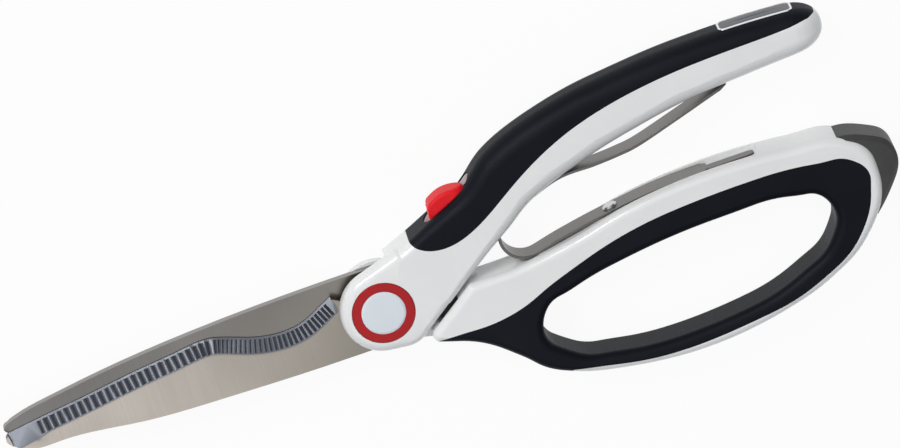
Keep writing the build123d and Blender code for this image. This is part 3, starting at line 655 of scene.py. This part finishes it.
# %% Round the far end
full_sections = 12
nose_power = 2.3
nose_drop = 0.1 * mm
nose_shares = (0.2, 0.4, 0.55, 0.68, 0.78, 0.86, 0.92, 0.96, 0.985, 0.998)


def round_end(section, slope):
    """Sections that close the far end: they shrink as a full, rounded nose does."""
    x, y, turn, width, depth, edge = section
    reach = handle_reach - x
    nose = []
    for share in nose_shares:
        full = (1 - share ** nose_power) ** (1 / nose_power)
        nose.append((x + share * reach, y - nose_drop * share, turn, (width + slope * share * reach) * full,
                     depth * full, edge * full))
    return nose


(x_before, _, _, width_before, _, _), last_full = sections[full_sections - 2:full_sections]
widening = (last_full[3] - width_before) / (last_full[0] - x_before)
smooth_sections = smooth_line(sections[:full_sections], line_steps) + round_end(last_full, widening)
print("sections of the smooth body:", len(smooth_sections))

# %% [markdown]
# ### Two bodies to measure against
# One body joins the given sections straight, as the CAD model does, and tells which points lie on the outer
# skin. The other one is the smooth body and tells where they should go. Neither has to be seen, so both are
# search trees, which find the nearest point of a surface quickly.

# %% Bodies to measure against
section_corner_steps = 12
most_edge = 0.49


def section_ring(section):
    """Points round a rounded rectangle that stands square to its heading."""
    x, y, turn, width, depth, edge = section
    edge = min(edge, most_edge * width, most_edge * depth)
    across = Vector((-math.sin(turn), math.cos(turn), 0))
    ring = []
    for corner, (side, height) in enumerate(((1, 1), (-1, 1), (-1, -1), (1, -1))):
        for step in range(section_corner_steps + 1):
            angle = math.radians(90 * (corner + step / section_corner_steps))
            out = side * (width / 2 - edge) + edge * math.cos(angle)
            up_by = height * (depth / 2 - edge) + edge * math.sin(angle)
            ring.append(Vector((x, y, middle_z + up_by)) + across * out)
    return ring


def body_tree(rows):
    """A search tree over the skin that joins the sections, closed at the far end."""
    rings = [section_ring(row) for row in rows]
    around = len(rings[0])
    points = [point for ring in rings for point in ring]
    faces = []
    for one in range(len(rings) - 1):
        for k in range(around):
            low, high = one * around, (one + 1) * around
            faces.append((low + k, low + (k + 1) % around, high + (k + 1) % around, high + k))
    faces.append(tuple(range(len(points) - around, len(points))))
    return BVHTree.FromPolygons(points, faces)


banded_body = body_tree(sections)
smooth_body = body_tree(smooth_sections)
apart = max(banded_body.find_nearest(point)[3] for row in smooth_sections for point in section_ring(row))
print("most that the two bodies stand apart, in mm:", round(apart / mm, 2))

# %% [markdown]
# ### Narrow slices
# A flat band can only bend where it has points. Subdividing the mesh would spread points everywhere and
# tangle the long CAD triangles. Cutting it with planes keeps every seam and leaves a tidy row of points at
# each plane: one each millimetre along the handle, one each half millimetre at the end, and a grid over the
# nose.

# %% Slice a copy finely
slices_from, slices_to = 10, 128
end_slices, end_slice_step = 20, 0.5
nose_from, nose_cuts = 127, 24
nose_low, nose_side_step, nose_depth_step = 29.5, 0.7, 0.6
cut_tolerance = 0.0005 * mm


def nose_geometry(mesh):
    """The corners, edges and faces at the mesh's far end, in a steady order."""
    faces = [face for face in mesh.faces if face.calc_center_median().x > nose_from * mm]
    corners = dict.fromkeys(corner for face in faces for corner in face.verts)
    edges = dict.fromkeys(edge for face in faces for edge in face.edges)
    return [*corners, *edges, *faces]


def slice_finely(mesh):
    """Cut the mesh into slices along the handle, and its nose into a grid."""
    places = [Vector((place * mm, 0, 0)) for place in range(slices_from, slices_to)]
    places += [Vector((slices_to + end_slice_step * k, 0, 0)) * mm for k in range(end_slices)]
    for place in places:
        bmesh.ops.bisect_plane(mesh, geom=[*mesh.verts, *mesh.edges, *mesh.faces], plane_co=place,
                               plane_no=(1, 0, 0), dist=cut_tolerance)
    for way in ((0, 1, 0), (0, 0, 1)):
        for k in range(nose_cuts):
            place = Vector((0, nose_low + nose_side_step * k, nose_depth_step * k)) * mm
            bmesh.ops.bisect_plane(mesh, geom=nose_geometry(mesh), plane_co=place, plane_no=way,
                                   dist=cut_tolerance)


print("planes along the handle:", slices_to - slices_from + end_slices,
      "planes over the nose:", 2 * nose_cuts)

# %% [markdown]
# ### Copy a part and move its skin
# A point of the copy is on the outer skin if it lies within a tenth of a millimetre of the banded body. It
# goes to the nearest point of the smooth body, but never past the flat front and back. All other points,
# such as those of the seam's inner wall and of the slot, stay where the CAD model has them. Mesh code works
# on a loose mesh, so a first helper turns it into an object with a finish. The later pieces use it too.

# %% From mesh code to an object
def piece_from(mesh, name, finish):
    """An object with its finish from finished mesh code."""
    data = bpy.data.meshes.new(name)
    mesh.to_mesh(data)
    mesh.free()
    data.materials.append(finish)
    piece = bpy.data.objects.new(name, data)
    scene.collection.objects.link(piece)
    return piece


# %% Copy a part and move its skin
skin_gap = 0.085 * mm
sliver_size = 0.002 * mm


def smooth_copy(node, name, finish):
    """A copy of a part, sliced, with its outer skin on the smooth body."""
    mesh = bmesh.new()
    mesh.from_mesh(part[node].data)
    bmesh.ops.remove_doubles(mesh, verts=mesh.verts, dist=weld_distance)
    slice_finely(mesh)
    moved = 0
    for point in mesh.verts:
        if banded_body.find_nearest(point.co)[3] < skin_gap:
            target = smooth_body.find_nearest(point.co)[0]
            target.z = min(max(target.z, 0.0), handle_depth)
            point.co = target
            moved += 1
    bmesh.ops.dissolve_degenerate(mesh, edges=mesh.edges, dist=sliver_size)
    piece = piece_from(mesh, name, finish)
    shade_as_one(piece)
    print(name, "points on the skin:", moved, "faces:", len(piece.data.polygons))
    return piece


handle_skins = [
    ("upper_handle_front_shell", "smooth_front_shell", white, "white_plastic"),
    ("upper_handle_rear_shell", "smooth_rear_shell", white, "white_plastic"),
    ("upper_grip", "smooth_grip", black, "black_grip"),
]
for node, name, finish, slot in handle_skins:
    piece = smooth_copy(node, name, finish)
    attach(piece, "upper")
    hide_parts(node)

# %% [markdown]
# ## Pieces made of rings
# The button, the slot's lining, the badge and the spring are all a row of closed rings of points: the skin
# of each piece runs from one ring to the next. Curves with a bevel or a screw modifier make such skins too,
# but they keep one shape of section all along, while these pieces change theirs. So one helper joins any
# rings into faces.

# %% Join rings into a closed piece
def join_rings(mesh, rings, looped=False):
    """Faces from ring to ring. Both ends are capped, or the last ring joins the first."""
    around = len(rings[0])
    pairs = list(zip(rings, rings[1:]))
    if looped:
        pairs.append((rings[-1], rings[0]))
    for one, two in pairs:
        for k in range(around):
            follow = (k + 1) % around
            mesh.faces.new((one[k], one[follow], two[follow], two[k]))
    if not looped:
        mesh.faces.new(rings[0])
        mesh.faces.new(list(reversed(rings[-1])))
    bmesh.ops.recalc_face_normals(mesh, faces=mesh.faces)


sample = bmesh.new()
square = ((0, 0), (1, 0), (1, 1), (0, 1))
join_rings(sample, [[sample.verts.new((x, y, z)) for x, y in square] for z in (0, 1)])
print("faces of a box made of two rings:", len(sample.faces))
sample.free()

# %% [markdown]
# ## The thumb button
# The button is a wedge: its steep, finely toothed side faces the pivot, so that a thumb can pull it along
# the slot. A box with a bevel would be simpler, but its ends would not follow the slot's round ends. Here
# it is a row of sections along the slot, each as wide as the slot lets it be, with eased shoulders. On the
# steep side the sections are pushed forward and back again by turns, which makes the teeth.

# %% The slot that the button slides in
lock_turn = math.radians(31)
along_slot = Vector((math.cos(lock_turn), math.sin(lock_turn), 0))
out_of_slot = Vector((-math.sin(lock_turn), math.cos(lock_turn), 0))
slot_start = 25.4 * mm
slot_length = 18.0 * mm
slot_width = 7.4 * mm
slot_floor = 3.95 * mm
least_half_width = 0.12 * mm


def slot_half_width(place, length, width):
    """Half the width of a round-ended slot at a place along it."""
    radius = width / 2
    from_end = min(max(place, 0.0), max(length - place, 0.0), radius)
    return math.sqrt(max(radius ** 2 - (radius - from_end) ** 2, least_half_width ** 2))


near_end = slot_half_width(1 * mm, slot_length, slot_width)
print("slot's half width 1 mm from its end, in mm:", round(near_end / mm, 2))

# %% Thumb button
button_start = 26.7 * mm
button_length = 13.3 * mm
button_width = 6.7 * mm
button_profile = [(0.0, 0.4), (0.25, 1.7), (1.0, 3.2), (2.1, 4.7), (3.1, 5.55), (4.2, 5.75), (7.0, 5.5),
                  (9.2, 4.7), (11.3, 3.4), (12.7, 2.5), (13.2, 1.9), (13.3, 1.2)]
first_toothed, last_toothed = 3, 34
tooth_points = 6
tooth_depth = 0.22 * mm
shoulder, shoulder_share = 0.9 * mm, 0.7
shoulder_steps = 6


def button_section(half, height):
    """A section's places: up one side and over the eased shoulder, then the same mirrored."""
    ease = min(shoulder, shoulder_share * half, shoulder_share * height)
    ring = [(-half, 0.0)]
    for step in range(shoulder_steps + 1):
        angle = math.radians(90 * step / shoulder_steps)
        ring.append((-half + ease * (1 - math.cos(angle)), height - ease * (1 - math.sin(angle))))
    return ring + [(-side, high) for side, high in reversed(ring)]


def button_rings(mesh):
    """The button's sections, set out along the slot."""
    rings = []
    line = smooth_line([Vector(point) * mm for point in button_profile], line_steps)
    for index, (place, height) in enumerate(line):
        half = slot_half_width(place, button_length, button_width)
        if first_toothed <= index <= last_toothed:
            place += tooth_depth * (1 - abs((index % tooth_points) / (tooth_points / 2) - 1))
        rings.append([mesh.verts.new(along_slot * (button_start + place) + out_of_slot * (slot_floor + high)
                                     + Vector((0, 0, middle_z + side)))
                      for side, high in button_section(half, height)])
    return rings


button_mesh = bmesh.new()
join_rings(button_mesh, button_rings(button_mesh))
button = piece_from(button_mesh, "thumb_button", button_red)
shade_as_one(button)
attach(button, "lock")
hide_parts("lock_slider")
print("button faces:", len(button.data.polygons))

# %% [markdown]
# ### White lining of the slot
# The grip was moulded round a white core, which shows as a thin white line inside the slot's mouth. A
# painted line would vanish as soon as the button moves, so the lining is a real wall: each ring of it has
# two corners on the slot's floor and two near the grip's skin, and the last ring joins the first one.

# %% White lining of the slot
lining_thickness = 0.2 * mm
lining_sink = 0.45 * mm
slot_end_steps = 16


def slot_outline(inset):
    """Places along and across the slot on a round-ended outline."""
    radius = slot_width / 2 - inset
    outline = []
    for middle, start in ((slot_length - slot_width / 2, -90), (slot_width / 2, 90)):
        for step in range(slot_end_steps + 1):
            angle = math.radians(start + 180 * step / slot_end_steps)
            outline.append((middle + radius * math.cos(angle), radius * math.sin(angle)))
    return outline


def slot_foot(place, side):
    """A point on the slot's floor."""
    return along_slot * (slot_start + place) + out_of_slot * slot_floor + Vector((0, 0, middle_z + side))


def lining_rings(mesh):
    """Four corners of the lining's wall at each point of the slot's outline."""
    rings = []
    for outer, inner in zip(slot_outline(0.0), slot_outline(lining_thickness)):
        foot, inner_foot = slot_foot(*outer), slot_foot(*inner)
        skin = smooth_body.ray_cast(foot, out_of_slot)[0]
        rise = out_of_slot * ((skin - foot).length - lining_sink)
        corners = (foot, foot + rise, inner_foot + rise, inner_foot)
        rings.append([mesh.verts.new(corner) for corner in corners])
    return rings


lining_mesh = bmesh.new()
join_rings(lining_mesh, lining_rings(lining_mesh), looped=True)
lining = piece_from(lining_mesh, "slot_lining", white)
shade_as_one(lining)
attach(lining, "upper")
print("lining faces:", len(lining.data.polygons))

# %% [markdown]
# ## The badge
# A thin metal plate is let into the grip near its far end. A bright, raised rim runs round a darker brushed
# face. One flat plate would cut into the grip, which curves there, and a shrinkwrap modifier would press
# the raised rim as flat as the face. So each point of both pieces is dropped onto the smooth body from
# outside and then lifted to its own height.

# %% Rings on the curve of the grip
badge_middle = 121.0 * mm
badge_length = 20.9 * mm
badge_width = 6.9 * mm
badge_corner = 1.75 * mm
least_corner = 0.1 * mm
badge_corner_steps = 6
badge_side_steps = 10
drop_from = 60 * mm


def badge_outline(inset):
    """Places along and across the plate, at a distance from its edge."""
    radius = max(badge_corner - inset, least_corner)
    half_length, half_width = badge_length / 2 - inset, badge_width / 2 - inset
    outline = []
    corners = ((1, 1), (-1, 1), (-1, -1), (1, -1))
    for corner, (side, up_side) in enumerate(corners):
        for step in range(badge_corner_steps + 1):
            angle = math.radians(90 * (corner + step / badge_corner_steps))
            outline.append((side * (half_length - radius) + radius * math.cos(angle),
                            up_side * (half_width - radius) + radius * math.sin(angle)))
        side, up_side = corners[(corner + 1) % 4]
        angle = math.radians(90 * (corner + 1))
        corner_end = outline[-1]
        next_start = (side * (half_length - radius) + radius * math.cos(angle),
                      up_side * (half_width - radius) + radius * math.sin(angle))
        outline += [tuple(a + (b - a) * step / badge_side_steps for a, b in zip(corner_end, next_start))
                    for step in range(1, badge_side_steps)]
    return outline


def badge_ring(inset, height):
    """The outline dropped onto the grip, at a height over it."""
    ring = []
    for x, z in badge_outline(inset):
        start = Vector((badge_middle + x, drop_from, middle_z + z))
        point, normal = smooth_body.ray_cast(start, Vector((0, -1, 0)))[:2]
        ring.append(point + normal * (height if normal.y > 0 else -height))
    return ring


print("points round the badge:", len(badge_ring(inset=0.0, height=0.0)))

# %% Badge plate and rim
rim_levels = [(0.0, -0.4), (0.0, 0.12), (0.1, 0.26), (0.3, 0.3), (0.5, 0.26), (0.6, 0.1), (0.6, -0.4)]
face_levels = [(0.6, -0.4), (0.6, 0.06), (0.9, 0.1), (1.6, 0.1), (2.4, 0.1), (3.1, 0.1)]


def badge_piece(name, levels, finish, hollow):
    """A piece of rings at (inset, height) in millimetres; a hollow one is open in its middle."""
    mesh = bmesh.new()
    rings = [[mesh.verts.new(point) for point in badge_ring(inset * mm, height * mm)]
             for inset, height in levels]
    join_rings(mesh, rings, looped=hollow)
    piece = piece_from(mesh, name, finish)
    shade_as_one(piece)
    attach(piece, "upper")
    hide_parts("badge_plate")
    print(name, "faces:", len(piece.data.polygons))


badge_piece("badge_rim", rim_levels, badge_silver, hollow=True)
badge_piece("badge_face", face_levels, badge_brushed, hollow=False)

# %% [markdown]
# ## The handle spring
# One steel leaf pushes the handles apart: it is riveted to the lower handle, turns back round a tight bend,
# and its other leg slides under the upper handle. A curve with a bevel could make such a strip, but its
# ends stay square. Here a small section with eased corners is carried along the leaf's middle line in mesh
# code, so that the free end can narrow to a rounded tip.

# %% The spring's middle line
bend_middle = Vector((43.0, 7.0, 7.0)) * mm
bend_radius = 6.8 * mm
bend_start, bend_turn = math.radians(-75.5), math.radians(-174.5)
bend_steps = 28
lower_leg = [(44.70, 0.42), (52.7, 2.30), (65.05, 4.48), (80.05, 6.37), (96.04, 6.90)]
upper_leg = [(40.67, 13.39), (55.75, 19.0), (66.93, 19.45), (73.8, 19.89), (80.18, 20.78), (92.05, 24.19),
             (107.92, 29.02)]


def bend_line():
    """The bend, from the lower leg round the left to the upper leg."""
    line = []
    for step in range(1, bend_steps):
        angle = bend_start + bend_turn * step / bend_steps
        line.append(Vector((bend_middle.x + bend_radius * math.cos(angle),
                            bend_middle.y + bend_radius * math.sin(angle))))
    return line


lower_line = [point * mm for point in smooth_line(lower_leg, line_steps)]
upper_line = [point * mm for point in smooth_line(upper_leg, line_steps)]
middle_line = [*reversed(lower_line), *bend_line(), *upper_line]
print("points along the spring:", len(middle_line))

# %% Carry a strip's section along a line
strip_ease = 0.12 * mm
tip_reach = 2.2 * mm
tip_share = 0.62
strip_sharp_angle = math.radians(40)


def strip_section(width, thickness):
    """Eight corners of a strip's section with eased edges, as sideways and upright places."""
    half, up_half = width / 2, thickness / 2
    return [(-half, -up_half + strip_ease), (-half + strip_ease, -up_half),
            (half - strip_ease, -up_half), (half, -up_half + strip_ease),
            (half, up_half - strip_ease), (half - strip_ease, up_half),
            (-half + strip_ease, up_half), (-half, up_half - strip_ease)]


def spring_strip(name, line, full_width, thickness):
    """A strip along a line, with both ends narrowed to rounded tips."""
    mesh = bmesh.new()
    rings = []
    last = len(line) - 1
    for index, point in enumerate(line):
        along = (line[min(index + 1, last)] - line[max(index - 1, 0)]).normalized()
        upright = Vector((-along.y, along.x))
        to_tip = min(1.0, min((point - line[-1]).length, (point - line[0]).length) / tip_reach)
        width = full_width * (tip_share + (1 - tip_share) * math.sqrt(max(0.0, 1 - (1 - to_tip) ** 2)))
        ring = []
        for side, height in strip_section(width, thickness):
            place = point + upright * height
            ring.append(mesh.verts.new((place.x, place.y, bend_middle.z + side)))
        rings.append(ring)
    join_rings(mesh, rings)
    strip = piece_from(mesh, name, spring_steel)
    for face in strip.data.polygons:
        face.use_smooth = True
    strip.data.set_sharp_from_angle(angle=strip_sharp_angle)
    return strip


print("a strip's tip is narrower by a share of", round(1 - tip_share, 2),
      "over mm:", round(tip_reach / mm, 1))

# %% [markdown]
# ### The leaf
# When the shears open, the leaf's lower leg stays with the lower handle, its upper leg follows the upper
# handle and the bend opens between them. Here the leaf is built once, in its shape with the shears closed,
# and it takes the place of the CAD model's spring.

# %% Leaf spring
spring_width = 7.2 * mm
spring_thickness = 0.8 * mm

leaf = spring_strip("leaf_spring", middle_line, spring_width, spring_thickness)
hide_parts("handle_spring")
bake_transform(leaf)
print("spring faces:", len(leaf.data.polygons))

# %% [markdown]
# ### Painted shade in the channel
# Past the leaf's rivet, the lower handle's channel lies in shadow. A thin, narrow strip of dark spring
# steel lies in it as painted shade. It could be part of the leaf's own mesh, but it has another width and
# thickness and never bends, so it is a strip of its own that rides with the lower handle.

# %% Painted shade in the channel
# A dark strip of spring steel that paints the shadow in the lower handle's channel.
channel_shade = [(95.2, 6.75), (101.0, 6.75), (105.0, 6.75), (109.4, 6.75)]
channel_shade_width = 3.4 * mm
channel_shade_thickness = 0.4 * mm
channel_shade_steps = 6

channel_shade_line = [point * mm for point in smooth_line(channel_shade, channel_shade_steps)]
channel_shade_strip = spring_strip("dark_strip_as_channel_shade", channel_shade_line, channel_shade_width, channel_shade_thickness)
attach(channel_shade_strip, "lower")
print("tongue faces:", len(channel_shade_strip.data.polygons))
